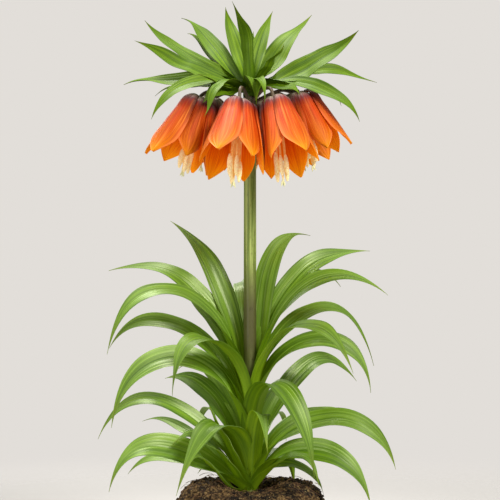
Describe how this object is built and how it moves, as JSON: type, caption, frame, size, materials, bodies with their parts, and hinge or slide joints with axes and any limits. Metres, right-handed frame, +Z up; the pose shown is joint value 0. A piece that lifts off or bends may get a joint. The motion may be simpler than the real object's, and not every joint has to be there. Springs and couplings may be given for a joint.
{
  "type": "crown imperial fritillary",
  "caption": "Upright flowering bulb plant with arching leaves on its lower stem, a ring of hanging orange bells under a tuft of leaves, standing in its own root ball of soil.",
  "frame": {"origin": "centre of the root ball's flat underside, on the stem's axis", "axes": "+Z up along the stem, +X to the right and -Y to the front as the plant is seen in the picture"},
  "size_m": [0.295, 0.2436, 0.5701],
  "materials": {
    "soil": "rough dark brown moist soil with crumbs",
    "bulb": "pale papery bulb skin",
    "leaf": "satin green leaf with fine parallel veins",
    "crown_leaf": "satin fresh green leaf with fine parallel veins",
    "stalk": "satin purple-brown flushed green stalk",
    "tepal": "satin orange-red tepal with darker veins",
    "stamen": "matte cream filaments and anthers"
  },
  "bodies": {
    "root": {"root_ball": "soil", "bulb": "bulb", "leafy_stem": "leaf", "flower_stalks": "stalk", "crown_leaves": "crown_leaf", "bell_1": "tepal", "bell_2": "tepal", "bell_3": "tepal", "bell_4": "tepal", "bell_5": "tepal", "bell_6": "tepal", "bell_7": "tepal", "stamens_1": "stamen", "stamens_2": "stamen", "stamens_3": "stamen", "stamens_4": "stamen", "stamens_5": "stamen", "stamens_6": "stamen", "stamens_7": "stamen"}
  },
  "joints": []
}
